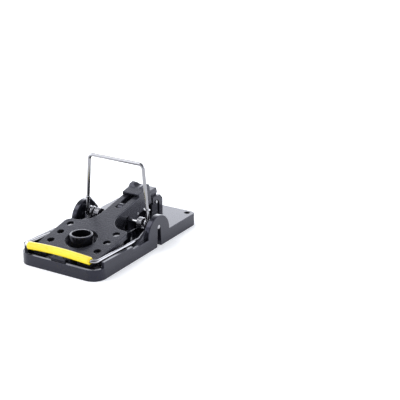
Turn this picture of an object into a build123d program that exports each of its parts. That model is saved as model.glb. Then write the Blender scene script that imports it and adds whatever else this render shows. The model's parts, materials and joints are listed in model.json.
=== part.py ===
from build123d import *
from math import atan2, cos, degrees, radians, sin, sqrt
import os

# Snap mouse trap, modelled as it lies when sprung.
# Millimetres. +X is the trap's right side, +Y its rear, +Z up.
# The origin is the middle of the underside that the trap rests on.

# ---------------------------------------------------------------- base
BASE_LENGTH = 100.0
BASE_WIDTH = 54.0
BASE_HEIGHT = 7.3
BASE_WALL = 2.0
BASE_FLOOR = 1.8
DECK_LENGTH = 31.0
DECK_SKIN = 2.0
FRONT_CORNER_R = 7.6
REAR_CORNER_R = 3.6
EDGE_SOFTENING = 0.4
FRONT_WALL_HEIGHT = 6.5

RIM_START = 6.3
RIM_LENGTH = 27.0
RIM_FRONT_HEIGHT = 2.7
RIM_REAR_HEIGHT = 1.8
RIM_THICKNESS = 1.7

EAR_RADIUS = 10.8
EAR_DROP = 4.1
EAR_THICKNESS = 3.3
SLOT_FLARE = 1.3

SCREW_HOLE_R = 1.8
SCREW_HOLE_SPACING = 45.4
SCREW_HOLE_TO_REAR = 3.9
SCREW_BOSS_R = 3.4

STOP_TAB_WIDTH = 9.5
STOP_TAB_THICKNESS = 1.1
STOP_TAB_TOP = 8.9
STOP_TAB_SETBACK = 1.4
STOP_TAB_CORNER_R = 1.6

# ---------------------------------------------------------------- axle and hammer
AXLE_D = 2.6
AXLE_HEIGHT = 11.9
AXLE_TO_REAR = 40.6
RUNNING_FIT = 0.05
SLOT_FIT = 0.15

WIRE_D = 2.0
KILL_EYE_X = 19.0
LEVER_EYE_X = 21.4
KILL_HALF_WIDTH = 24.0
KILL_BAR_TO_FRONT = 2.82
KILL_BAR_HEIGHT = 10.52
KILL_KNEE_REACH = 12.9
KILL_KNEE_DROP = 3.9
KILL_KNEE_HALF_WIDTH = 22.0
KILL_CORNER_R = 3.0
KILL_KNEE_R = 9.0
KILL_BOW = 1.4
KILL_BOW_R = 220.0
LEVER_REACH = 36.2
LEVER_HALF_WIDTH = 18.3
LEVER_CORNER_R = 2.8
SLEEVE_D = 4.3
SLEEVE_END_GAP = 0.1
SLEEVE_FIT = 0.02

# ---------------------------------------------------------------- treadle
TREADLE_PIVOT_BEHIND_AXLE = 10.3
TREADLE_PIVOT_HEIGHT = 12.2
TREADLE_SWING = 5.5
PLATE_HEIGHT = 8.9
PLATE_THICKNESS = 1.8
PLATE_HALF_WIDTH = 21.2
PLATE_TO_FRONT = 4.22
PLATE_FRONT_HEIGHT = 8.19
LOBE_REAR_REACH = 30.2
LOBE_CORNER_R = 3.6
WAIST_R = 11.5
NECK_HALF_WIDTH = 5.8
SKIRT_THICKNESS = 1.2
SKIRT_DEPTH = 2.9
NECK_DEPTH = 9.6
CUP_HOLE_R = 9.3
COLLAR_THICKNESS = 1.1
COLLAR_DEPTH = 3.6
VENT_R = 2.2
VENT_HALF_SPACING = 15.8
VENT_ROW_TO_FRONT = 2.6
VENT_PITCH = 9.1
VENT_COUNT = 4
NOTCH_HALF_WIDTH = 9.6
NOTCH_DEPTH = 5.6
NOTCH_CORNER_R = 3.0
TRIP_RIB_HEIGHT = 1.2
TRIP_RIB_THICKNESS = 1.1
TRIP_RIB_HALF_LENGTH = 12.8
NECK_SLOT_HALF_WIDTH = 1.95
NECK_SLOT_REACH = 11.2
HOOD_START = 3.2
HOOD_END = 14.4
HOOD_RISE = 2.0
HOOD_SKIN = 0.9
HORN_RISE = 1.3
HORN_LENGTH = 3.0
TREADLE_PIN_D = 2.0
LUG_R = 2.2
LUG_THICKNESS = 1.7

# ---------------------------------------------------------------- trigger
TRIGGER_PIVOT_BEHIND_AXLE = 29.5
TRIGGER_PIVOT_HEIGHT = 13.3
TRIGGER_SWING = 13.4
TRIGGER_PIN_D = 2.0
TRIGGER_BLADE_HALF = 1.55
TRIGGER_BOSS_R = 2.2
FIN_CENTRE_BEHIND_AXLE = 3.9
FIN_HALF_LENGTH = 4.3
FIN_BASE_HEIGHT = 19.6
FIN_TOP_HEIGHT = 26.0
FIN_TOE_HEIGHT = 20.5
BLADE_UNDERSIDE = 18.2
BLADE_TOP = 20.0
NOSE_HALF_WIDTH = 4.2
NOSE_FRONT_BEHIND_AXLE = 24.7
NOSE_TOP_HEIGHT = 22.3
NOSE_REAR_HEIGHT = 20.8
NOSE_UNDERSIDE = 17.3
NOSE_GAP = 0.45
TOWER_HALF_WIDTH = 6.1
TOWER_TOP = 17.1
TOWER_WALL = 1.5
TOWER_REAR_SETBACK = 4.2
TOWER_REAR_SLOPE = 3.6
TOWER_RECESS_AHEAD_OF_PIN = 0.9
TOWER_RECESS_HALF = 3.6
TOWER_RECESS_TOP = 14.8
TOWER_RECESS_DEPTH = 0.7
MOVING_GAP = 0.45

# ---------------------------------------------------------------- springs
SPRING_WIRE_D = 0.9
SPRING_MEAN_R = 2.9
SPRING_TURNS = 5
SPRING_INNER_X = 12.7
SPRING_STRAIGHT_RISE = 2.2
SPRING_HOOK_HEIGHT = 9.6
SPRING_HOOK_LENGTH = 2.8
SPRING_LEG_GAP = 0.1
SPRING_LEG_INSET = 0.12
BEND_SWELL = 1.05
SPRING_LEG_FORWARD = 13.5
ANCHOR_HALF_WIDTH = 1.3
ANCHOR_LENGTH = 3.5
ANCHOR_GROOVE_GAP = 0.1

# ---------------------------------------------------------------- bait cup
CUP_OUTER_R = 6.5
CUP_WALL = 1.1
CUP_TOP = 15.0
CUP_FLOOR = 1.4
CUP_TO_FRONT = 22.8
CUP_FLANGE_R = 8.9
CUP_FLANGE_THICKNESS = 0.8
CUP_FIT = 0.1

# ---------------------------------------------------------------- worked out
FRONT_Y = -BASE_LENGTH / 2
REAR_Y = BASE_LENGTH / 2
SIDE_X = BASE_WIDTH / 2
DECK_FRONT_Y = REAR_Y - DECK_LENGTH
AXLE_Y = REAR_Y - AXLE_TO_REAR
AXLE_R = AXLE_D / 2
WIRE_R = WIRE_D / 2
EYE_R = AXLE_R + RUNNING_FIT + WIRE_R
EAR_INNER_X = SIDE_X - EAR_THICKNESS
TREADLE_Y = AXLE_Y + TREADLE_PIVOT_BEHIND_AXLE
TRIGGER_Y = AXLE_Y + TRIGGER_PIVOT_BEHIND_AXLE
KILL_BAR_Y = FRONT_Y + KILL_BAR_TO_FRONT
PLATE_RUN = TREADLE_Y - FRONT_Y - PLATE_TO_FRONT
PLATE_DROP = TREADLE_PIVOT_HEIGHT - PLATE_FRONT_HEIGHT
PLATE_REACH = sqrt(PLATE_RUN ** 2 + PLATE_DROP ** 2 - PLATE_HEIGHT ** 2)
TREADLE_TILT = degrees(atan2(PLATE_DROP, PLATE_RUN) + atan2(PLATE_HEIGHT, PLATE_REACH))
CUP_Y = FRONT_Y + CUP_TO_FRONT
NECK_INNER = NECK_HALF_WIDTH - SKIRT_THICKNESS
LUG_INNER_X = NECK_INNER - MOVING_GAP - LUG_THICKNESS
SPRING_WIRE_R = SPRING_WIRE_D / 2
SPRING_OUTER_X = SPRING_INNER_X + SPRING_TURNS * SPRING_WIRE_D
TOWER_FRONT_Y = TREADLE_Y + HOOD_END + MOVING_GAP + 0.2
TOWER_REAR_Y = REAR_Y - TOWER_REAR_SETBACK

AXLE_POINT = (0, AXLE_Y, AXLE_HEIGHT)
TREADLE_POINT = (0, TREADLE_Y, TREADLE_PIVOT_HEIGHT)
TRIGGER_POINT = (0, TRIGGER_Y, TRIGGER_PIVOT_HEIGHT)


# ---------------------------------------------------------------- helpers
def block(x0, x1, y0, y1, z0, z1):
    """A box from its two corners."""
    return Pos((x0 + x1) / 2, (y0 + y1) / 2, (z0 + z1) / 2) * Box(x1 - x0, y1 - y0, z1 - z0)


def rod(radius, x0, x1, y, z):
    """A round bar along X."""
    return Pos((x0 + x1) / 2, y, z) * Rot(0, 90, 0) * Cylinder(radius, x1 - x0)


def post(radius, x, y, z0, z1):
    """A round bar along Z."""
    return Pos(x, y, (z0 + z1) / 2) * Cylinder(radius, z1 - z0)


def side_slab(points, x0, x1):
    """A flat plate whose outline is given as (y, z) points and whose faces are at x0 and x1."""
    face = make_face(Polyline(*[(0, y, z) for y, z in points], close=True))
    return Pos(x0, 0, 0) * extrude(face, amount=x1 - x0, dir=(1, 0, 0))


def both_sides(shape):
    """The shape and its mirror image in the trap's middle plane."""
    return shape, mirror(shape, about=Plane.YZ)


def fuse_all(first, *others):
    """One shape from several that touch."""
    result = first
    for other in others:
        result = result + other
    return result


def turned(shape, point, angle):
    """The shape turned about the X line through a point, rear side up for a positive angle."""
    x, y, z = point
    return Pos(x, y, z) * Rot(angle, 0, 0) * Pos(-x, -y, -z) * shape


def write(shape, name):
    export_step(shape, f"parts/{name}.step")


# ---------------------------------------------------------------- base
def base_outline(inset):
    """The base's plan, moved inwards by an inset."""
    side = SIDE_X - inset
    front = FRONT_Y + inset
    rear = REAR_Y - inset
    front_r = FRONT_CORNER_R - inset
    rear_r = max(REAR_CORNER_R - inset, 0.5)
    path = FilletPolyline(
        (-side, front), (side, front), (side, rear), (-side, rear),
        radius=[front_r, front_r, rear_r, rear_r], close=True,
    )
    return make_face(path)


def base_body():
    """The tray and the deck behind it: one skin, open above in front and below behind."""
    body = extrude(base_outline(0), amount=BASE_HEIGHT)
    low_front = block(-SIDE_X, SIDE_X, FRONT_Y, FRONT_Y + RIM_START, FRONT_WALL_HEIGHT, BASE_HEIGHT + 1)
    body = body - low_front
    high_rim = body.edges().group_by(Axis.Z)[-1].sort_by(Axis.Y)[1:]
    body = fillet(high_rim, EDGE_SOFTENING)
    inner = extrude(base_outline(BASE_WALL), amount=BASE_HEIGHT)
    tray = Pos(0, 0, BASE_FLOOR) * inner & block(-SIDE_X, SIDE_X, FRONT_Y, DECK_FRONT_Y, 0, BASE_HEIGHT + 1)
    under_deck = inner & block(
        -SIDE_X, SIDE_X, DECK_FRONT_Y + BASE_WALL, REAR_Y, -1, BASE_HEIGHT - DECK_SKIN
    )
    return body - tray - under_deck


def side_rim():
    """The low rail on the side wall beside the treadle."""
    start = FRONT_Y + RIM_START
    end = start + RIM_LENGTH
    outline = [
        (start, BASE_HEIGHT - 1),
        (start, BASE_HEIGHT + RIM_FRONT_HEIGHT),
        (end, BASE_HEIGHT + RIM_REAR_HEIGHT),
        (end, BASE_HEIGHT - 1),
    ]
    return side_slab(outline, SIDE_X - RIM_THICKNESS, SIDE_X)


def ear():
    """The half disc that carries one end of the axle."""
    centre_z = AXLE_HEIGHT - EAR_DROP
    disc = rod(EAR_RADIUS, EAR_INNER_X, SIDE_X, AXLE_Y, centre_z)
    disc = fillet(disc.edges().filter_by(GeomType.CIRCLE), EDGE_SOFTENING)
    foot = block(EAR_INNER_X, SIDE_X, AXLE_Y - EAR_RADIUS, AXLE_Y + EAR_RADIUS, 0, centre_z)
    tall = disc & block(0, SIDE_X, FRONT_Y, REAR_Y, centre_z, AXLE_HEIGHT + EAR_RADIUS)
    return tall + foot


def ear_gusset():
    """The sloping web between the ear and the side wall in front of it."""
    rear = AXLE_Y - EAR_RADIUS + 1
    inner = EAR_INNER_X + 0.1
    outline = [
        (rear - EAR_RADIUS - 1, BASE_HEIGHT - 1),
        (rear, AXLE_HEIGHT + 0.6),
        (rear + 1, AXLE_HEIGHT + 0.6),
        (rear + 1, BASE_FLOOR - 0.5),
        (rear - EAR_RADIUS - 1, BASE_FLOOR - 0.5),
    ]
    return side_slab(outline, inner, inner + 1.4)


def axle_slot():
    """The slot through the ear that the axle is pushed up into from below."""
    half_top = AXLE_R + SLOT_FIT
    half_bottom = half_top + SLOT_FLARE / 2
    x0 = EAR_INNER_X - 1
    x1 = SIDE_X + 1
    taper = side_slab(
        [
            (AXLE_Y - half_bottom, -1),
            (AXLE_Y + half_bottom, -1),
            (AXLE_Y + half_top, AXLE_HEIGHT),
            (AXLE_Y - half_top, AXLE_HEIGHT),
        ],
        x0, x1,
    )
    return taper + rod(AXLE_R + RUNNING_FIT, x0, x1, AXLE_Y, AXLE_HEIGHT)


def treadle_lug():
    """One of the two upright lugs that hold the treadle's pivot pin."""
    x0 = LUG_INNER_X
    x1 = LUG_INNER_X + LUG_THICKNESS
    disc = rod(LUG_R, x0, x1, TREADLE_Y, TREADLE_PIVOT_HEIGHT)
    stem = block(x0, x1, TREADLE_Y - LUG_R, TREADLE_Y + LUG_R, BASE_FLOOR - 0.5, TREADLE_PIVOT_HEIGHT)
    bore = rod(TREADLE_PIN_D / 2, x0 - 1, x1 + 1, TREADLE_Y, TREADLE_PIVOT_HEIGHT)
    return disc + stem - bore


def tower():
    """The open-topped box behind the treadle that holds the trigger's pin."""
    z0 = BASE_HEIGHT - DECK_SKIN
    outline = [
        (TOWER_FRONT_Y, z0),
        (TOWER_FRONT_Y, TOWER_TOP),
        (TOWER_REAR_Y - TOWER_REAR_SLOPE, TOWER_TOP),
        (TOWER_REAR_Y, TOWER_TOP - TOWER_REAR_SLOPE),
        (TOWER_REAR_Y, z0),
    ]
    outer = side_slab(outline, -TOWER_HALF_WIDTH, TOWER_HALF_WIDTH)
    outer = fillet(outer.edges().filter_by(Axis.Z).group_by(Axis.Y)[-1], 1.0)
    cheek = TOWER_HALF_WIDTH - TOWER_WALL
    room = block(
        -cheek, cheek, TOWER_FRONT_Y - 1, TOWER_REAR_Y - TOWER_WALL, BASE_HEIGHT, TOWER_TOP + 1
    )
    span = TOWER_HALF_WIDTH + 1
    bore = rod(TRIGGER_PIN_D / 2, -span, span, TRIGGER_Y, TRIGGER_PIVOT_HEIGHT)
    box = outer - room - bore
    for recess in both_sides(tower_recess()):
        box = box - recess
    return box


def tower_recess():
    """The shallow arch sunk into the tower's right cheek round the pin's end."""
    x0 = TOWER_HALF_WIDTH - TOWER_RECESS_DEPTH
    x1 = TOWER_HALF_WIDTH + 1
    y = TRIGGER_Y - TOWER_RECESS_AHEAD_OF_PIN
    spring_line = TOWER_RECESS_TOP - TOWER_RECESS_HALF
    arch = rod(TOWER_RECESS_HALF, x0, x1, y, spring_line)
    return arch + block(x0, x1, y - TOWER_RECESS_HALF, y + TOWER_RECESS_HALF, BASE_HEIGHT, spring_line)


def stop_tab():
    """The upright tab on the front wall that the kill bar stops against."""
    y0 = FRONT_Y + STOP_TAB_SETBACK
    half = STOP_TAB_WIDTH / 2
    tab = block(-half, half, y0, y0 + STOP_TAB_THICKNESS, BASE_FLOOR - 0.5, STOP_TAB_TOP)
    top_corners = tab.edges().filter_by(Axis.Y).group_by(Axis.Z)[-1]
    return fillet(top_corners, STOP_TAB_CORNER_R)


def spring_anchor():
    """The notched post that the spring's lower leg presses on."""
    x = SPRING_INNER_X + SPRING_WIRE_R
    y = AXLE_Y - SPRING_LEG_FORWARD
    leg_z = AXLE_HEIGHT - SPRING_MEAN_R
    half = ANCHOR_HALF_WIDTH
    groove_half = SPRING_WIRE_R + ANCHOR_GROOVE_GAP
    anchor = block(x - half, x + half, y, y + ANCHOR_LENGTH, BASE_FLOOR - 0.5, leg_z + 1)
    groove = block(
        x - groove_half, x + groove_half, y - 1, y + ANCHOR_LENGTH + 1, leg_z - SPRING_WIRE_R, leg_z + 2
    )
    return anchor - groove


def screw_hole(x):
    return post(SCREW_HOLE_R, x, REAR_Y - SCREW_HOLE_TO_REAR, -1, BASE_HEIGHT + 1)


def screw_boss(x):
    boss = post(SCREW_BOSS_R, x, REAR_Y - SCREW_HOLE_TO_REAR, 0, BASE_HEIGHT - 0.5)
    return boss & extrude(base_outline(BASE_WALL / 2), amount=BASE_HEIGHT)


def make_base():
    body = base_body()
    body = fuse_all(body, *both_sides(side_rim()), *both_sides(ear()), *both_sides(ear_gusset()))
    seat = post(CUP_FLANGE_R + BASE_WALL, 0, CUP_Y, 0, BASE_FLOOR + 0.8)
    body = fuse_all(body, *both_sides(treadle_lug()), tower(), stop_tab(), seat)
    half_spacing = SCREW_HOLE_SPACING / 2
    body = fuse_all(body, *both_sides(spring_anchor()), *both_sides(screw_boss(half_spacing)))
    for slot in both_sides(axle_slot()):
        body = body - slot
    for hole in both_sides(screw_hole(half_spacing)):
        body = body - hole
    passage = post(CUP_OUTER_R + CUP_FIT, 0, CUP_Y, -1, CUP_TOP)
    recess = post(CUP_FLANGE_R + CUP_FIT, 0, CUP_Y, -1, CUP_FLANGE_THICKNESS + CUP_FIT)
    return body - passage - recess


# ---------------------------------------------------------------- axle, hammer and springs
def make_axle():
    pin = rod(AXLE_R, -SIDE_X, SIDE_X, AXLE_Y, AXLE_HEIGHT)
    return chamfer(pin.edges(), 0.25)


def wire_eye(x):
    """One closed turn of wire round the axle."""
    return Pos(x, AXLE_Y, AXLE_HEIGHT) * Rot(0, 90, 0) * Torus(EYE_R, WIRE_R)


def bent_wire(points, radii):
    """Round wire along straight runs joined by arcs."""
    path = FilletPolyline(*points, radius=radii)
    start = path @ 0
    along = path % 0
    section = Plane(origin=start, z_dir=along) * Circle(WIRE_R)
    return sweep(section, path=path)


def kill_bar_bow(x):
    """How far the cross bar's straight flank has risen at a distance x from the middle."""
    return KILL_BOW * (KILL_HALF_WIDTH - x) / KILL_HALF_WIDTH


def make_kill_bar():
    """The striking bar: an eye, a kneed arm and half the bowed cross bar on each side."""
    knee_y = AXLE_Y - KILL_KNEE_REACH
    knee_z = AXLE_HEIGHT - KILL_KNEE_DROP
    right = [
        (KILL_EYE_X, AXLE_Y, AXLE_HEIGHT - EYE_R),
        (KILL_KNEE_HALF_WIDTH, knee_y, knee_z),
        (KILL_HALF_WIDTH, KILL_BAR_Y, KILL_BAR_HEIGHT),
    ]
    middle = (0, KILL_BAR_Y, KILL_BAR_HEIGHT + KILL_BOW)
    left = [(-x, y, z) for x, y, z in reversed(right)]
    bends = [KILL_KNEE_R, KILL_CORNER_R]
    wire = bent_wire([*right, middle, *left], [*bends, KILL_BOW_R, *reversed(bends)])
    return fuse_all(wire, wire_eye(KILL_EYE_X), wire_eye(-KILL_EYE_X))


def make_setting_lever():
    """The lever that cocks the trap: an eye and a straight leg on each side, and a cross bar."""
    y = AXLE_Y - EYE_R
    top = AXLE_HEIGHT + LEVER_REACH
    right = [(LEVER_EYE_X, y, AXLE_HEIGHT), (LEVER_HALF_WIDTH, y, top)]
    left = [(-x, y, z) for x, y, z in reversed(right)]
    wire = bent_wire(right + left, [LEVER_CORNER_R, LEVER_CORNER_R])
    return fuse_all(wire, wire_eye(LEVER_EYE_X), wire_eye(-LEVER_EYE_X))


def make_kill_bar_sleeve():
    """The soft tube over the striking bar, bowed with it."""
    half = KILL_HALF_WIDTH - KILL_CORNER_R - SLEEVE_END_GAP
    end_z = KILL_BAR_HEIGHT + kill_bar_bow(half)
    path = FilletPolyline(
        (half, KILL_BAR_Y, end_z), (0, KILL_BAR_Y, KILL_BAR_HEIGHT + KILL_BOW), (-half, KILL_BAR_Y, end_z),
        radius=KILL_BOW_R,
    )
    start = Plane(origin=path @ 0, z_dir=path % 0)
    tube = sweep(start * Circle(SLEEVE_D / 2), path=path)
    rims = tube.edges().filter_by(GeomType.CIRCLE).sort_by(Axis.X)
    tube = chamfer([rims[0], rims[-1]], SLEEVE_D / 10)
    return tube - sweep(start * Circle(WIRE_R + SLEEVE_FIT), path=path)


def strut(start, end):
    """A straight length of spring wire from one point to another, with a ball at its end."""
    line = Line(start, end)
    bar = sweep(Plane(origin=start, z_dir=line % 0) * Circle(SPRING_WIRE_R), path=line)
    return bar + Pos(*end) * Sphere(SPRING_WIRE_R * BEND_SWELL)


def spring_leg_up(side):
    """The spring's upper leg, which leans on the back of the lever's leg."""
    x = SPRING_OUTER_X - SPRING_WIRE_R - SPRING_LEG_INSET
    y = AXLE_Y + SPRING_MEAN_R - SPRING_LEG_INSET
    rise = AXLE_HEIGHT + SPRING_STRAIGHT_RISE
    hook_z = AXLE_HEIGHT + SPRING_HOOK_HEIGHT
    lever_x = LEVER_EYE_X + (LEVER_HALF_WIDTH - LEVER_EYE_X) * SPRING_HOOK_HEIGHT / LEVER_REACH
    behind = AXLE_Y - EYE_R + WIRE_R + SPRING_WIRE_R + SPRING_LEG_GAP
    half = SPRING_HOOK_LENGTH / 2
    foot = (side * x, y, AXLE_HEIGHT)
    bend = (side * x, y, rise)
    hook_start = (side * (lever_x - half), behind, hook_z)
    hook_end = (side * (lever_x + half), behind, hook_z)
    return fuse_all(strut(foot, bend), strut(bend, hook_start), strut(hook_start, hook_end))


def make_spring(side):
    """The torsion spring of one side (+1 right, -1 left): close rings and a leg at each end."""
    first = side * (SPRING_INNER_X + SPRING_WIRE_R)
    bore_r = SPRING_MEAN_R - 0.3 * SPRING_WIRE_D
    ridges = []
    for turn in range(SPRING_TURNS):
        x = SPRING_INNER_X + turn * SPRING_WIRE_D
        crest = (x + SPRING_WIRE_R, SPRING_MEAN_R + SPRING_WIRE_R)
        ridges.append(ThreePointArc((x, SPRING_MEAN_R), crest, (x + SPRING_WIRE_D, SPRING_MEAN_R)))
    inside = Polyline(
        (SPRING_OUTER_X, SPRING_MEAN_R), (SPRING_OUTER_X, bore_r), (SPRING_INNER_X, bore_r),
        (SPRING_INNER_X, SPRING_MEAN_R),
    )
    coil = revolve(make_face([*ridges, *inside.edges()]), Axis.X)
    to_side = (side - 1) / 2 * (SPRING_INNER_X + SPRING_OUTER_X)
    seam_turn = 200
    coil = Pos(to_side, AXLE_Y, AXLE_HEIGHT) * Rot(seam_turn, 0, 0) * coil
    leg_z = AXLE_HEIGHT - SPRING_MEAN_R
    leg_y = AXLE_Y - SPRING_LEG_FORWARD / 2
    leg_down = Pos(first, leg_y, leg_z) * Rot(90, 0, 0) * Cylinder(SPRING_WIRE_R, SPRING_LEG_FORWARD)
    return fuse_all(coil, spring_leg_up(side), leg_down)


# ---------------------------------------------------------------- treadle
# The treadle is drawn level, with its pivot at the origin and its front towards -Y,
# and is then tilted and put on its pin.
def treadle_outline():
    """The bow-tie plan: a wide lobe, concave shoulders and a narrow neck."""
    arc_x = NECK_HALF_WIDTH + WAIST_R
    arc_y = -LOBE_REAR_REACH + WAIST_R
    arc_mid = WAIST_R * cos(radians(45))
    wide = PLATE_HALF_WIDTH
    lobe_rear = -LOBE_REAR_REACH
    right = [
        Line((wide, -PLATE_REACH), (wide, lobe_rear)),
        Line((wide, lobe_rear), (arc_x, lobe_rear)),
        ThreePointArc(
            (arc_x, lobe_rear), (arc_x - arc_mid, arc_y - arc_mid), (NECK_HALF_WIDTH, arc_y)
        ),
        Line((NECK_HALF_WIDTH, arc_y), (NECK_HALF_WIDTH, HOOD_END)),
    ]
    left = [mirror(edge, about=Plane.YZ) for edge in right]
    front = Line((-wide, -PLATE_REACH), (wide, -PLATE_REACH))
    back = Line((-NECK_HALF_WIDTH, HOOD_END), (NECK_HALF_WIDTH, HOOD_END))
    face = make_face([*right, *left, front, back])
    corners = [v for v in face.vertices() if abs(abs(v.X) - wide) < 0.01]
    return fillet(corners, LOBE_CORNER_R)


def notch_outline():
    """The rounded bite out of the plate's front edge."""
    half = NOTCH_HALF_WIDTH
    depth = PLATE_REACH - NOTCH_DEPTH
    path = FilletPolyline(
        (-half - 1.5, -PLATE_REACH - 3), (-half, -depth), (half, -depth), (half + 1.5, -PLATE_REACH - 3),
        radius=NOTCH_CORNER_R,
    )
    closing = Line(path @ 1, path @ 0)
    return make_face([*path.edges(), closing])


def treadle_plan():
    return treadle_outline() - notch_outline()


def flat_plate(face, z0, z1):
    return Pos(0, 0, z0) * extrude(face, amount=z1 - z0)


def treadle_skirt(plan):
    """The wall under the plate's edge, shallow round the lobe and deep beside the neck."""
    inner = offset(plan, amount=-SKIRT_THICKNESS, kind=Kind.INTERSECTION)
    ring = plan - inner
    top = PLATE_HEIGHT - PLATE_THICKNESS / 2
    shallow = flat_plate(ring, PLATE_HEIGHT - SKIRT_DEPTH, top)
    deep = flat_plate(ring, PLATE_HEIGHT - NECK_DEPTH, top)
    shoulder = -LOBE_REAR_REACH + 1
    profile = [
        (shoulder, top + 1),
        (shoulder, PLATE_HEIGHT - SKIRT_DEPTH),
        (shoulder + WAIST_R, PLATE_HEIGHT - NECK_DEPTH),
        (HOOD_END + 1, PLATE_HEIGHT - NECK_DEPTH),
        (HOOD_END + 1, top + 1),
    ]
    window = side_slab(profile, -PLATE_HALF_WIDTH, PLATE_HALF_WIDTH)
    rear_wall = block(-NECK_INNER, NECK_INNER, HOOD_END - 3, HOOD_END + 1, -PLATE_HEIGHT, PLATE_HEIGHT)
    return shallow - rear_wall + ((deep & window) - rear_wall)


def cup_hole_centre():
    """Where the cup's axis meets the plate, half way through the treadle's swing."""
    middle_tilt = radians(TREADLE_TILT - TREADLE_SWING / 2)
    run = TREADLE_Y - CUP_Y - PLATE_HEIGHT * sin(middle_tilt)
    return -run / cos(middle_tilt)


def axle_notch():
    """The open notch in the neck's side walls that the axle passes through."""
    y = -TREADLE_PIVOT_BEHIND_AXLE
    z = AXLE_HEIGHT - TREADLE_PIVOT_HEIGHT
    sway = TREADLE_PIVOT_BEHIND_AXLE * sin(radians(TREADLE_TILT))
    half = AXLE_R + MOVING_GAP + 0.2
    span = NECK_HALF_WIDTH + 1
    roof = z + sway
    dome = rod(half, -span, span, y, roof)
    return dome + block(-span, span, y - half, y + half, -PLATE_HEIGHT, roof)


def hood():
    """The raised roof over the rear of the neck slot, with two horns at its back."""
    top = PLATE_HEIGHT + HOOD_RISE
    horn_start = HOOD_END - HORN_LENGTH
    profile = [
        (HOOD_START, PLATE_HEIGHT - PLATE_THICKNESS),
        (HOOD_START, top - 0.3),
        (HOOD_START + 0.3, top),
        (horn_start - 1.5, top),
        (horn_start, top + HORN_RISE),
        (HOOD_END - 0.6, top + HORN_RISE),
        (HOOD_END, top + HORN_RISE - 0.6),
        (HOOD_END, PLATE_HEIGHT - PLATE_THICKNESS),
    ]
    shell = side_slab(profile, -NECK_HALF_WIDTH, NECK_HALF_WIDTH)
    roof_sides = shell.edges().filter_by(Axis.Y).group_by(Axis.Z)[-2:]
    shell = fillet([*roof_sides[0], *roof_sides[1]], EDGE_SOFTENING)
    room = block(
        -NECK_INNER, NECK_INNER, HOOD_START - 1, HOOD_END + 1, 0, top - HOOD_SKIN
    )
    saddle_r = NECK_HALF_WIDTH * 0.75
    saddle_z = top + saddle_r
    middle_y = HOOD_END - HORN_LENGTH / 2
    saddle = Pos(0, middle_y, saddle_z) * Rot(90, 0, 0) * Cylinder(saddle_r, HORN_LENGTH + 4)
    return shell - room - saddle


def make_treadle():
    plan = treadle_plan()
    plate = flat_plate(plan, PLATE_HEIGHT - PLATE_THICKNESS, PLATE_HEIGHT)
    top_edges = plate.edges().group_by(Axis.Z)[-1]
    plate = fillet(top_edges, EDGE_SOFTENING)
    shape = plate + treadle_skirt(plan)
    hole_y = cup_hole_centre()
    collar = post(CUP_HOLE_R + COLLAR_THICKNESS, 0, hole_y, PLATE_HEIGHT - COLLAR_DEPTH, PLATE_HEIGHT - 0.5)
    rib_y = -PLATE_REACH + VENT_ROW_TO_FRONT + VENT_R - 0.6
    rib = block(
        -TRIP_RIB_HALF_LENGTH, TRIP_RIB_HALF_LENGTH, rib_y, rib_y + TRIP_RIB_THICKNESS,
        PLATE_HEIGHT - 0.5, PLATE_HEIGHT + TRIP_RIB_HEIGHT,
    )
    rib = fillet(rib.edges().group_by(Axis.Z)[-1], 0.3)
    shape = fuse_all(shape, collar, rib, hood())
    shape = shape - post(CUP_HOLE_R, 0, hole_y, 0, PLATE_HEIGHT + 1)
    for place in range(VENT_COUNT):
        y = -PLATE_REACH + VENT_ROW_TO_FRONT + place * VENT_PITCH
        for vent in both_sides(post(VENT_R, VENT_HALF_SPACING, y, 0, PLATE_HEIGHT + 3)):
            shape = shape - vent
    slot = block(
        -NECK_SLOT_HALF_WIDTH, NECK_SLOT_HALF_WIDTH, -NECK_SLOT_REACH, HOOD_END - 1,
        0, PLATE_HEIGHT + HOOD_RISE - HOOD_SKIN,
    )
    open_back = block(
        -NECK_INNER, NECK_INNER, HOOD_START + 3, HOOD_END + 1, 0, PLATE_HEIGHT + HOOD_RISE - HOOD_SKIN
    )
    bore = rod(TREADLE_PIN_D / 2 + RUNNING_FIT, -PLATE_HALF_WIDTH, PLATE_HALF_WIDTH, 0, 0)
    shape = shape - slot - open_back - bore - axle_notch()
    return Pos(*TREADLE_POINT) * Rot(TREADLE_TILT, 0, 0) * shape


def make_treadle_pin():
    half = NECK_HALF_WIDTH
    return chamfer(rod(TREADLE_PIN_D / 2, -half, half, *TREADLE_POINT[1:]).edges(), 0.2)


# ---------------------------------------------------------------- trigger
# The trigger is drawn as it stands when the trap is set, then dropped by its swing.
def fin_outline():
    """The tombstone fin that stands up through the neck slot."""
    centre = AXLE_Y + FIN_CENTRE_BEHIND_AXLE
    front = centre - FIN_HALF_LENGTH
    rear = centre + FIN_HALF_LENGTH
    crown = (centre, FIN_TOP_HEIGHT)
    slope = cos(radians(45))
    rise = (FIN_TOP_HEIGHT - FIN_BASE_HEIGHT) * slope
    reach = FIN_HALF_LENGTH * slope
    toe = AXLE_Y + AXLE_R + 1.3
    points = [
        (toe, FIN_TOE_HEIGHT), (front + 0.4, FIN_TOE_HEIGHT), (front, FIN_TOE_HEIGHT + 0.5),
        (centre - reach, FIN_BASE_HEIGHT + rise), crown, (centre + reach, FIN_BASE_HEIGHT + rise),
        (rear, BLADE_TOP),
    ]
    spread = [(0, y, z) for y, z in points]
    front_arc = Spline(spread[2], spread[3], spread[4], tangents=[(0, 0, 1), (0, 1, 0)])
    rear_arc = Spline(spread[4], spread[5], spread[6], tangents=[(0, 1, 0), (0, 0, -1)])
    return front_arc, rear_arc, spread


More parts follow.
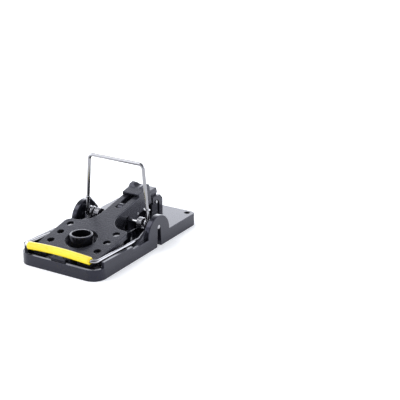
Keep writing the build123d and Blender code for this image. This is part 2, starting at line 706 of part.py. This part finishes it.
def trigger_blade():
    """The thin blade that runs from the fin back under the hood."""
    front_arc, rear_arc, spread = fin_outline()
    nose_front = AXLE_Y + NOSE_FRONT_BEHIND_AXLE
    toe_y = spread[0][1]
    lower = Polyline(
        spread[6], (0, nose_front + 1, BLADE_TOP), (0, nose_front + 1, BLADE_UNDERSIDE),
        (0, toe_y + 0.6, BLADE_UNDERSIDE), (0, toe_y, BLADE_UNDERSIDE + 0.6), spread[0], spread[1], spread[2],
    )
    face = make_face([front_arc, rear_arc, *lower.edges()])
    half = TRIGGER_BLADE_HALF
    return Pos(-half, 0, 0) * extrude(face, amount=2 * half, dir=(1, 0, 0))


def nose_reach(height):
    """How far behind the axle the nose may reach at a height and still clear the lever's bar."""
    radius = sqrt(LEVER_REACH ** 2 + EYE_R ** 2) - WIRE_R - NOSE_GAP
    return sqrt(radius ** 2 - (height - AXLE_HEIGHT) ** 2)


def trigger_nose():
    """The block at the trigger's rear that stands in front of the lever's cross bar."""
    front = AXLE_Y + NOSE_FRONT_BEHIND_AXLE
    rear = AXLE_Y + nose_reach(NOSE_REAR_HEIGHT)
    outline = [
        (front, NOSE_UNDERSIDE),
        (front, NOSE_TOP_HEIGHT - 1.2),
        (front + 1.2, NOSE_TOP_HEIGHT),
        (rear - 0.4, NOSE_REAR_HEIGHT + 0.1),
        (rear, NOSE_REAR_HEIGHT - 0.3),
        (rear + 0.3, NOSE_UNDERSIDE),
    ]
    nose = side_slab(outline, -NOSE_HALF_WIDTH, NOSE_HALF_WIDTH)
    nose = fillet(nose.edges().filter_by(GeomType.LINE).group_by(Axis.Z)[-1], EDGE_SOFTENING)
    stalk_half = TRIGGER_BOSS_R * 0.8
    stalk_outline = [
        (front, NOSE_UNDERSIDE + 0.5), (rear, NOSE_UNDERSIDE + 0.5),
        (TRIGGER_Y + stalk_half, TRIGGER_PIVOT_HEIGHT + 1),
        (TRIGGER_Y - stalk_half, TRIGGER_PIVOT_HEIGHT + 1),
    ]
    stalk = side_slab(stalk_outline, -NOSE_HALF_WIDTH, NOSE_HALF_WIDTH)
    boss = rod(TRIGGER_BOSS_R, -NOSE_HALF_WIDTH, NOSE_HALF_WIDTH, TRIGGER_Y, TRIGGER_PIVOT_HEIGHT)
    return fuse_all(nose, stalk, boss)


def make_trigger():
    shape = trigger_blade() + trigger_nose()
    bore_r = TRIGGER_PIN_D / 2 + RUNNING_FIT
    shape = shape - rod(bore_r, -SIDE_X, SIDE_X, TRIGGER_Y, TRIGGER_PIVOT_HEIGHT)
    return turned(shape, TRIGGER_POINT, TRIGGER_SWING)


def make_trigger_pin():
    half = TOWER_HALF_WIDTH
    return chamfer(rod(TRIGGER_PIN_D / 2, -half, half, *TRIGGER_POINT[1:]).edges(), 0.2)


# ---------------------------------------------------------------- bait cup
def make_bait_cup():
    """The plain cup, put in from below and held by its flange."""
    cup = post(CUP_OUTER_R, 0, CUP_Y, 0, CUP_TOP)
    cup = fillet(cup.edges().group_by(Axis.Z)[-1], EDGE_SOFTENING)
    flange = post(CUP_FLANGE_R, 0, CUP_Y, 0, CUP_FLANGE_THICKNESS)
    well = post(CUP_OUTER_R - CUP_WALL, 0, CUP_Y, CUP_FLOOR, CUP_TOP + 1)
    return cup + flange - well


def main():
    os.makedirs("parts", exist_ok=True)
    write(make_base(), "base")
    write(make_axle(), "axle")
    write(make_kill_bar(), "kill_bar")
    write(make_kill_bar_sleeve(), "kill_bar_sleeve")
    write(make_setting_lever(), "setting_lever")
    write(make_treadle(), "treadle")
    write(make_treadle_pin(), "treadle_pin")
    write(make_trigger(), "trigger")
    write(make_trigger_pin(), "trigger_pin")
    write(make_bait_cup(), "bait_cup")
    write(make_spring(1), "spring_right")
    write(make_spring(-1), "spring_left")


main()
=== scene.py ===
import json
import math

import bpy
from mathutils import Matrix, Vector


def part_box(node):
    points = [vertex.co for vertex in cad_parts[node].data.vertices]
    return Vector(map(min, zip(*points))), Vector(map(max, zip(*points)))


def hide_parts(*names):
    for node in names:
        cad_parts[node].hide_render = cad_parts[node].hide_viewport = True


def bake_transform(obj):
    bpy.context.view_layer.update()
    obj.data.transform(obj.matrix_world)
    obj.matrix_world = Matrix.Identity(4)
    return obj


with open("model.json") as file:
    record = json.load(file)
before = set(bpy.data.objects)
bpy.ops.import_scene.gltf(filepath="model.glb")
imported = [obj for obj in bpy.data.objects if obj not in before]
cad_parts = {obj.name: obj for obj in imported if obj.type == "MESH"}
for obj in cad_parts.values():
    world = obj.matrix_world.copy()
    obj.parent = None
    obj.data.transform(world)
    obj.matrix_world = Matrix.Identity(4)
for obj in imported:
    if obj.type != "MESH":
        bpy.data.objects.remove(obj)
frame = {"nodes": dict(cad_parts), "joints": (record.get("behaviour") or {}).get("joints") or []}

MM = 0.001
# the colour sockets of a Mix node, whose sockets share their names
COLOUR_A = 6
COLOUR_B = 7
COLOUR_RESULT = 2
NODES = frame["nodes"]
JOINTS = {joint["name"]: joint for joint in frame["joints"]}
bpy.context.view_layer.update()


# ---------------------------------------------------------------- camera
CAMERA_PLACE = Vector((345.0, -471.1, 245.3)) * MM
CAMERA_PITCH = math.radians(20.67)
CAMERA_HEADING = math.radians(31.2)
CAMERA_LENS = 99.0
SENSOR_WIDTH = 36.0
# in metres
CLIP_NEAR = 0.01
CLIP_FAR = 20.0


def make_camera():
    """The camera at the photograph's viewing angle and framing."""
    data = bpy.data.cameras.new("camera")
    data.lens = CAMERA_LENS
    data.sensor_width = SENSOR_WIDTH
    data.clip_start = CLIP_NEAR
    data.clip_end = CLIP_FAR
    camera = bpy.data.objects.new("camera", data)
    bpy.context.scene.collection.objects.link(camera)
    camera.location = CAMERA_PLACE
    forward = Vector((
        -math.sin(CAMERA_HEADING) * math.cos(CAMERA_PITCH),
        math.cos(CAMERA_HEADING) * math.cos(CAMERA_PITCH),
        -math.sin(CAMERA_PITCH),
    ))
    camera.rotation_euler = forward.to_track_quat("-Z", "Y").to_euler()
    bpy.context.scene.camera = camera


# ---------------------------------------------------------------- node helpers
def new_material(name):
    """A material with only a Principled shader; returns the material, its node tree and the shader."""
    material = bpy.data.materials.new(name)
    material.use_nodes = True
    tree = material.node_tree
    tree.nodes.clear()
    output = tree.nodes.new("ShaderNodeOutputMaterial")
    shader = tree.nodes.new("ShaderNodeBsdfPrincipled")
    tree.links.new(shader.outputs["BSDF"], output.inputs["Surface"])
    return material, tree, shader


def object_place(tree, scale=(1, 1, 1)):
    """A place on the object in millimetres, scaled along each axis; under 1 draws a pattern out."""
    coordinate = tree.nodes.new("ShaderNodeTexCoord")
    mapping = tree.nodes.new("ShaderNodeMapping")
    mapping.inputs["Scale"].default_value = [share / MM for share in scale]
    tree.links.new(coordinate.outputs["Object"], mapping.inputs["Vector"])
    return mapping.outputs["Vector"]


def noise(tree, place, size, detail=2.0, roughness=0.5):
    """Soft noise from 0 to 1 whose blotches are about size millimetres across."""
    node = tree.nodes.new("ShaderNodeTexNoise")
    node.inputs["Scale"].default_value = 1.0 / size
    node.inputs["Detail"].default_value = detail
    node.inputs["Roughness"].default_value = roughness
    tree.links.new(place, node.inputs["Vector"])
    return node.outputs["Fac"]


def remap(tree, value, from_low, from_high, to_low, to_high):
    """The value moved linearly from one range to another, and kept inside it."""
    node = tree.nodes.new("ShaderNodeMapRange")
    node.inputs["From Min"].default_value = from_low
    node.inputs["From Max"].default_value = from_high
    node.inputs["To Min"].default_value = to_low
    node.inputs["To Max"].default_value = to_high
    tree.links.new(value, node.inputs["Value"])
    return node.outputs["Result"]


def mixed_colour(tree, factor, colour_a, colour_b):
    """Colour a where the factor is 0 and colour b where it is 1."""
    node = tree.nodes.new("ShaderNodeMix")
    node.data_type = "RGBA"
    for colour, socket in ((colour_a, COLOUR_A), (colour_b, COLOUR_B)):
        if isinstance(colour, bpy.types.NodeSocket):
            tree.links.new(colour, node.inputs[socket])
        else:
            node.inputs[socket].default_value = (*colour, 1)
    tree.links.new(factor, node.inputs["Factor"])
    return node.outputs[COLOUR_RESULT]


def multiplied(tree, value_a, value_b):
    """The product of two values."""
    node = tree.nodes.new("ShaderNodeMath")
    node.operation = "MULTIPLY"
    tree.links.new(value_a, node.inputs[0])
    tree.links.new(value_b, node.inputs[1])
    return node.outputs["Value"]


# the cosine of the rounded normal's lean from the flat one, where an edge starts and where it is full
EDGE_STARTS = 0.98
EDGE_FULL = 0.8
BEVEL_SAMPLES = 6


def rounded_edges(tree, width):
    """A normal that rounds sharp edges by width millimetres, and a mask that is 1 along them."""
    bevel = tree.nodes.new("ShaderNodeBevel")
    bevel.inputs["Radius"].default_value = width * MM
    bevel.samples = BEVEL_SAMPLES
    geometry = tree.nodes.new("ShaderNodeNewGeometry")
    agreement = tree.nodes.new("ShaderNodeVectorMath")
    agreement.operation = "DOT_PRODUCT"
    tree.links.new(bevel.outputs["Normal"], agreement.inputs[0])
    tree.links.new(geometry.outputs["True Normal"], agreement.inputs[1])
    mask = remap(tree, agreement.outputs["Value"], EDGE_STARTS, EDGE_FULL, 0.0, 1.0)
    return bevel.outputs["Normal"], mask


def bumped(tree, height, depth, normal=None):
    """The normal bent by a height map whose full swing is depth millimetres."""
    bump = tree.nodes.new("ShaderNodeBump")
    bump.inputs["Distance"].default_value = depth * MM
    bump.inputs["Strength"].default_value = 1.0
    tree.links.new(height, bump.inputs["Height"])
    if normal is not None:
        tree.links.new(normal, bump.inputs["Normal"])
    return bump.outputs["Normal"]


# ---------------------------------------------------------------- materials
# how a moulding tints what it reflects face on: the base and the cup, the other black ones, the sleeve
COOL_TINT = (0.6, 0.61, 0.8)
TREADLE_TINT = (0.8, 0.81, 1.0)
WHITE = (1.0, 1.0, 1.0)
# the painted highlight that lightens the base's, the treadle's and the trigger's edges
PAINTED_EDGE_HIGHLIGHT_GREY = (0.05, 0.052, 0.062)
PLASTIC_IOR = 1.5
# how big the patterns are and how deep or wide their marks, in millimetres
BLOTCH_SIZE = 14.0
FLOW_SIZE = 3.0
GRAIN_SIZE = 0.3
SCUFF_SIZE = 1.6
CLOUD_SIZE = 3.0
SPECK_SIZE = 0.5
DRAWING_SIZE = 0.2
DRAWING_DEPTH = 0.002
EDGE_WIDTH = 0.3
# how the patterns are drawn out along the axes
FLOW_SCALE = (1.0, 0.25, 1.0)
SCUFF_SCALE = (0.2, 3.0, 1.0)
DRAWING_SCALE = (0.15, 1.0, 1.0)
# the noise values between which each pattern fades in
EDGE_HIGHLIGHT_SHOWS = (0.4, 0.65)
RUBBING_SHOWS = (0.35, 0.75)
SPECKS_SHOW = (0.62, 0.75)
CLOUDS_SHOW = (0.3, 0.7)
# how much of the painted edge highlight comes in, from least to most
EDGE_HIGHLIGHT_SHARES = (0.15, 0.8)
# shares of the roughness, then of the colour
PLASTIC_ROUGHNESS = (0.8, 1.3)
METAL_ROUGHNESS = (0.7, 1.4)
PLASTIC_SHADES = (0.8, 1.25)
METAL_SHADES = (0.88, 1.05)
TARNISH_SHADE = 0.45


def shaded(colour, share):
    """The colour made darker or lighter, and kept within white."""
    return [min(1.0, c * share) for c in colour]


def plastic(name, colour, roughness, painted_edge_highlight, tint=COOL_TINT, grain=0.0015, waviness=0.005):
    """Moulded plastic: faint flow marks, a fine grain, and edges lightened in patches by a painted
    highlight.

    The grain and the waviness are depths in millimetres.
    """
    material, tree, shader = new_material(name)
    place = object_place(tree)
    blotches = noise(tree, place, BLOTCH_SIZE, detail=3.0)
    flow = noise(tree, object_place(tree, FLOW_SCALE), FLOW_SIZE, detail=4.0)
    fine = noise(tree, place, GRAIN_SIZE, detail=2.0)
    scuffs_and_highlight_patches = noise(tree, object_place(tree, SCUFF_SCALE), SCUFF_SIZE, detail=5.0, roughness=0.7)
    normal, edge = rounded_edges(tree, EDGE_WIDTH)
    dark, light = [shaded(colour, share) for share in PLASTIC_SHADES]
    # the edges are lightened by a painted highlight, in patches where the scuff noise is high
    edge_highlight_mask = multiplied(tree, edge, remap(tree, scuffs_and_highlight_patches, *EDGE_HIGHLIGHT_SHOWS, *EDGE_HIGHLIGHT_SHARES))
    body = mixed_colour(tree, blotches, dark, light)
    tree.links.new(mixed_colour(tree, edge_highlight_mask, body, painted_edge_highlight), shader.inputs["Base Color"])
    smooth, rough = [roughness * share for share in PLASTIC_ROUGHNESS]
    tree.links.new(remap(tree, scuffs_and_highlight_patches, *RUBBING_SHOWS, smooth, rough), shader.inputs["Roughness"])
    wavy = bumped(tree, flow, waviness, normal)
    tree.links.new(bumped(tree, fine, grain, wavy), shader.inputs["Normal"])
    shader.inputs["IOR"].default_value = PLASTIC_IOR
    shader.inputs["Specular Tint"].default_value = (*tint, 1)
    return material


def metal(name, colour, roughness, tarnish):
    """Plated steel: drawing marks, cloudy roughness and a few duller specks."""
    material, tree, shader = new_material(name)
    place = object_place(tree)
    clouds = noise(tree, place, CLOUD_SIZE, detail=3.0)
    specks = noise(tree, place, SPECK_SIZE, detail=4.0, roughness=0.6)
    drawn = noise(tree, object_place(tree, DRAWING_SCALE), DRAWING_SIZE, detail=2.0)
    shader.inputs["Metallic"].default_value = 1.0
    dark, light = [shaded(colour, share) for share in METAL_SHADES]
    bright = mixed_colour(tree, clouds, dark, light)
    dull = remap(tree, specks, *SPECKS_SHOW, 0.0, tarnish)
    steel_colour = mixed_colour(tree, dull, bright, shaded(colour, TARNISH_SHADE))
    tree.links.new(steel_colour, shader.inputs["Base Color"])
    smooth, rough = [roughness * share for share in METAL_ROUGHNESS]
    tree.links.new(remap(tree, clouds, *CLOUDS_SHOW, smooth, rough), shader.inputs["Roughness"])
    tree.links.new(bumped(tree, drawn, DRAWING_DEPTH), shader.inputs["Normal"])
    return material


def paint(node, material):
    """Gives a CAD node its material."""
    slots = NODES[node].data.materials
    slots.clear()
    slots.append(material)


# ---------------------------------------------------------------- springs
# All in millimetres. The lever's sizes, the coil's mean radius and where its last turn lies are the
# CAD model's. The wire is 0.03 less in radius than there, the hook sits 0.2 lower, and the turns are
# wound, where the CAD model stacks five closed rings.
AXLE_Y = JOINTS["hammer_swing"]["pos_m"][1] / MM
AXLE_Z = JOINTS["hammer_swing"]["pos_m"][2] / MM
SPRING_WIRE_R = 0.42
SPRING_MEAN_R = 2.9
SPRING_TURNS = 4.25
SPRING_FIRST_X = 13.14
SPRING_LAST_X = 16.75
LEG_END_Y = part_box("spring_right")[0][1] / MM
LEG_STEP = 0.5
LEG_STEPS = 24
LEG_TO_COIL_GAP = 0.4
# the coil starts at its lowest point, a quarter turn before its rearmost one
START_TURN = -0.25
LEVER_EYE_X = 21.4
LEVER_EYE_R = 2.35
LEVER_TOP_X = 18.3
LEVER_REACH = 36.2
LEVER_LEAN = (LEVER_EYE_X - LEVER_TOP_X) / LEVER_REACH
LEVER_Y = AXLE_Y - LEVER_EYE_R
LEVER_WIRE_R = 1.0
# which way, and how strongly, the rising leg's curve leaves the coil and arrives at the hook
RISE_PULL = Vector((0, 0, 2.4))
ARRIVAL_PULL = Vector((1.7, 0, 1.6))
RISE_STEPS = 20
HOOK_HEIGHT = 9.4
HOOK_GAP = 0.04
HOOK_TURN = math.radians(250)
HOOK_CLIMB = 0.9
HOOK_STEPS = 21
STEPS_PER_TURN = 28
TUBE_SIDES = 12
# how far along the radius each ring of a tube's domed end stands
DOME_RINGS = (0.35, 0.75)


def base_leg():
    """The straight leg from its post on the base to just short of the coil."""
    ys = [LEG_END_Y + step * LEG_STEP for step in range(LEG_STEPS)]
    return [(SPRING_FIRST_X, y, AXLE_Z - SPRING_MEAN_R) for y in ys if y < AXLE_Y - LEG_TO_COIL_GAP]


def coil():
    """The wound turns, from the coil's lowest point to its rearmost one."""
    points = []
    steps = round(SPRING_TURNS * STEPS_PER_TURN)
    for step in range(steps + 1):
        share = step / steps
        angle = math.tau * (SPRING_TURNS * share + START_TURN)
        points.append((
            SPRING_FIRST_X + (SPRING_LAST_X - SPRING_FIRST_X) * share,
            AXLE_Y + SPRING_MEAN_R * math.cos(angle),
            AXLE_Z + SPRING_MEAN_R * math.sin(angle),
        ))
    return points


def rising_leg(start, finish):
    """The leg from the coil to the hook, as a cubic curve."""
    points = []
    for step in range(1, RISE_STEPS):
        t = step / RISE_STEPS
        place = (
            start * (1 - t) ** 3 + (start + RISE_PULL) * (3 * t * (1 - t) ** 2)
            + (finish - ARRIVAL_PULL) * (3 * t * t * (1 - t)) + finish * t ** 3
        )
        points.append(tuple(place))
    return points


def lever_hook(lever_x, wrap_r, hook_z):
    """The end of the wire, wrapped round the lever's leg from behind."""
    points = []
    for step in range(HOOK_STEPS + 1):
        share = step / HOOK_STEPS
        angle = HOOK_TURN * share
        points.append((
            lever_x + wrap_r * math.sin(angle),
            LEVER_Y + wrap_r * math.cos(angle),
            hook_z + HOOK_CLIMB * share,
        ))
    return points


def spring_path(side):
    """The middle line of one torsion spring, from its leg on the base to its hook on the lever."""
    wrap_r = LEVER_WIRE_R + SPRING_WIRE_R + HOOK_GAP
    hook_z = AXLE_Z + HOOK_HEIGHT
    lever_x = LEVER_EYE_X - LEVER_LEAN * HOOK_HEIGHT
    path = base_leg() + coil()
    path += rising_leg(Vector(path[-1]), Vector((lever_x, LEVER_Y + wrap_r, hook_z)))
    path += lever_hook(lever_x, wrap_r, hook_z)
    return [Vector((side * x, y, z)) * MM for x, y, z in path]


def tube(name, path, radius):
    """A round tube along a path, with domed ends, as a new object."""
    rings = []
    across = (path[1] - path[0]).orthogonal().normalized()
    for place, point in enumerate(path):
        before = path[max(place - 1, 0)]
        after = path[min(place + 1, len(path) - 1)]
        along = (after - before).normalized()
        across = (across - along * across.dot(along)).normalized()
        rings.append((point, along, across, radius))
    first = rings[0]
    last = rings[-1]
    for rounding in DOME_RINGS:
        shrunk = radius * math.sqrt(1 - rounding * rounding)
        rings.insert(0, (first[0] - first[1] * radius * rounding, first[1], first[2], shrunk))
        rings.append((last[0] + last[1] * radius * rounding, last[1], last[2], shrunk))
    vertices = []
    for point, along, across, size in rings:
        up = along.cross(across)
        for side in range(TUBE_SIDES):
            angle = math.tau * side / TUBE_SIDES
            vertices.append(point + (across * math.cos(angle) + up * math.sin(angle)) * size)
    faces = []
    for ring in range(len(rings) - 1):
        for side in range(TUBE_SIDES):
            after = (side + 1) % TUBE_SIDES
            low = ring * TUBE_SIDES
            high = low + TUBE_SIDES
            faces.append((low + side, low + after, high + after, high + side))
    faces.append(tuple(reversed(range(TUBE_SIDES))))
    faces.append(tuple(range(len(vertices) - TUBE_SIDES, len(vertices))))
    mesh = bpy.data.meshes.new(name)
    mesh.from_pydata(vertices, [], faces)
    mesh.shade_smooth()
    piece = bpy.data.objects.new(name, mesh)
    bpy.context.scene.collection.objects.link(piece)
    return piece


def make_spring(name, side, material):
    """One wound torsion spring in place of its plain CAD stack; side is 1 on the right, -1 on the left."""
    piece = tube(name + "_coil", spring_path(side), SPRING_WIRE_R * MM)
    piece.data.materials.append(material)
    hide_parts(name)
    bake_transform(piece)


# ---------------------------------------------------------------- studio
# each stop is the sine of a height above the horizon, and the brightness there
SKY_STOPS = [(0.0, 1.0), (0.34, 1.0), (0.6, 0.3), (0.75, 0.12), (1.0, 0.12)]
SKY_COLOUR = (0.93, 0.95, 1.0, 1)
# what multiplies that brightness, and the cosine to the camera's side at which it stops falling
BEHIND_TRAP = 4.0
BEHIND_CAMERA = 0.6
CAMERA_SIDE_FULL = 0.9
# the brightness that the camera itself sees
BACKDROP = 1.2
FLOOR_GLOW = 0.35
FLOOR_ROUGHNESS = 0.9
# in millimetres, and the next two in metres
FLOOR_TONE_SIZE = 60.0
FLOOR_HALF = 6.0
FLOOR_DROP = 0.0001
FLOOR_DARK = (0.86, 0.86, 0.87)
FLOOR_LIGHT = (0.9, 0.9, 0.9)
FLOOR_GLOW_COLOUR = (0.95, 0.97, 1.0, 1.0)
# in metres
KEY_PLACE = Vector((-0.35, -0.25, 0.7))
KEY_SIZE = 0.5
KEY_WATTS = 3.0


def sky_by_height(tree, direction):
    """Bright near the horizon and dim overhead."""
    split = tree.nodes.new("ShaderNodeSeparateXYZ")
    tree.links.new(direction, split.inputs["Vector"])
    ramp = tree.nodes.new("ShaderNodeValToRGB")
    elements = ramp.color_ramp.elements
    while len(elements) < len(SKY_STOPS):
        elements.new(0.5)
    for element, (place, value) in zip(elements, SKY_STOPS):
        element.position = place
        element.color = (value, value, value, 1)
    tree.links.new(split.outputs["Z"], ramp.inputs["Fac"])
    return ramp.outputs["Color"]


def sky_by_side(tree, direction):
    """Bright on the far side of the trap and dim on the near side."""
    toward = tree.nodes.new("ShaderNodeVectorMath")
    toward.operation = "DOT_PRODUCT"
    toward.inputs[1].default_value = (math.sin(CAMERA_HEADING), -math.cos(CAMERA_HEADING), 0)
    tree.links.new(direction, toward.inputs[0])
    shade = tree.nodes.new("ShaderNodeMapRange")
    shade.interpolation_type = "SMOOTHSTEP"
    shade.inputs["From Min"].default_value = 0.0
    shade.inputs["From Max"].default_value = CAMERA_SIDE_FULL
    shade.inputs["To Min"].default_value = BEHIND_TRAP
    shade.inputs["To Max"].default_value = BEHIND_CAMERA
    tree.links.new(toward.outputs["Value"], shade.inputs["Value"])
    return shade.outputs["Result"]


def make_world():
    """A white backdrop to the eye, and a soft directional surround to everything else."""
    world = bpy.data.worlds.new("studio")
    bpy.context.scene.world = world
    world.use_nodes = True
    tree = world.node_tree
    tree.nodes.clear()
    output = tree.nodes.new("ShaderNodeOutputWorld")
    background = tree.nodes.new("ShaderNodeBackground")
    tree.links.new(background.outputs["Background"], output.inputs["Surface"])
    direction = tree.nodes.new("ShaderNodeTexCoord").outputs["Generated"]
    surround = multiplied(tree, sky_by_height(tree, direction), sky_by_side(tree, direction))
    seen = tree.nodes.new("ShaderNodeLightPath")
    choose = tree.nodes.new("ShaderNodeMix")
    tree.links.new(seen.outputs["Is Camera Ray"], choose.inputs["Factor"])
    tree.links.new(surround, choose.inputs["A"])
    choose.inputs["B"].default_value = BACKDROP
    tree.links.new(choose.outputs["Result"], background.inputs["Strength"])
    background.inputs["Color"].default_value = SKY_COLOUR


def make_floor():
    """A plain pale floor, lit from within a little so that it stays white round the trap."""
    mesh = bpy.data.meshes.new("floor")
    half = FLOOR_HALF
    corners = [(-half, -half, 0), (half, -half, 0), (half, half, 0), (-half, half, 0)]
    mesh.from_pydata(corners, [], [(0, 1, 2, 3)])
    floor = bpy.data.objects.new("floor", mesh)
    bpy.context.scene.collection.objects.link(floor)
    floor.location.z = -FLOOR_DROP
    material, tree, shader = new_material("floor_paper")
    tone = noise(tree, object_place(tree), FLOOR_TONE_SIZE)
    tree.links.new(mixed_colour(tree, tone, FLOOR_DARK, FLOOR_LIGHT), shader.inputs["Base Color"])
    shader.inputs["Roughness"].default_value = FLOOR_ROUGHNESS
    shader.inputs["Emission Color"].default_value = FLOOR_GLOW_COLOUR
    shader.inputs["Emission Strength"].default_value = FLOOR_GLOW
    mesh.materials.append(material)


def make_key_light():
    """One soft square light, high at the trap's front left, aimed at the middle of its underside."""
    data = bpy.data.lights.new("key", "AREA")
    data.shape = "RECTANGLE"
    data.size = KEY_SIZE
    data.size_y = KEY_SIZE
    data.energy = KEY_WATTS
    light = bpy.data.objects.new("key", data)
    bpy.context.scene.collection.objects.link(light)
    light.location = KEY_PLACE
    light.rotation_euler = (-KEY_PLACE).to_track_quat("-Z", "Y").to_euler()


# ---------------------------------------------------------------- making
make_camera()
bpy.context.scene.view_settings.view_transform = "Standard"
make_world()
make_floor()
make_key_light()

# the colour after the roughness is each moulding's painted edge highlight
base_plastic = plastic("base_plastic", (0.0105, 0.0108, 0.0145), 0.16, PAINTED_EDGE_HIGHLIGHT_GREY)
treadle_plastic = plastic("treadle_plastic", (0.017, 0.0175, 0.022), 0.26, PAINTED_EDGE_HIGHLIGHT_GREY, TREADLE_TINT)
trigger_plastic = plastic("trigger_plastic", (0.02, 0.0205, 0.026), 0.22, PAINTED_EDGE_HIGHLIGHT_GREY, TREADLE_TINT)
cup_plastic = plastic("cup_plastic", (0.006, 0.006, 0.0075), 0.12, (0.3, 0.3, 0.32))
sleeve_plastic = plastic(
    "sleeve_plastic", (0.95, 0.66, 0.012), 0.3, (0.97, 0.74, 0.1), tint=WHITE, grain=0.004, waviness=0.03
)
hammer_wire = metal("hammer_wire", (0.3, 0.3, 0.315), 0.07, 0.5)
spring_wire = metal("spring_wire", (0.38, 0.38, 0.4), 0.1, 0.5)
steel = metal("axle_steel", (0.42, 0.42, 0.44), 0.14, 0.4)
finishes = {
    "base": base_plastic,
    "treadle": treadle_plastic,
    "trigger": trigger_plastic,
    "bait_cup": cup_plastic,
    "kill_bar": hammer_wire,
    "setting_lever": hammer_wire,
    "kill_bar_sleeve": sleeve_plastic,
    "axle": steel,
    "treadle_pin": steel,
    "trigger_pin": steel,
}
for node, material in finishes.items():
    paint(node, material)
make_spring("spring_right", 1, spring_wire)
make_spring("spring_left", -1, spring_wire)
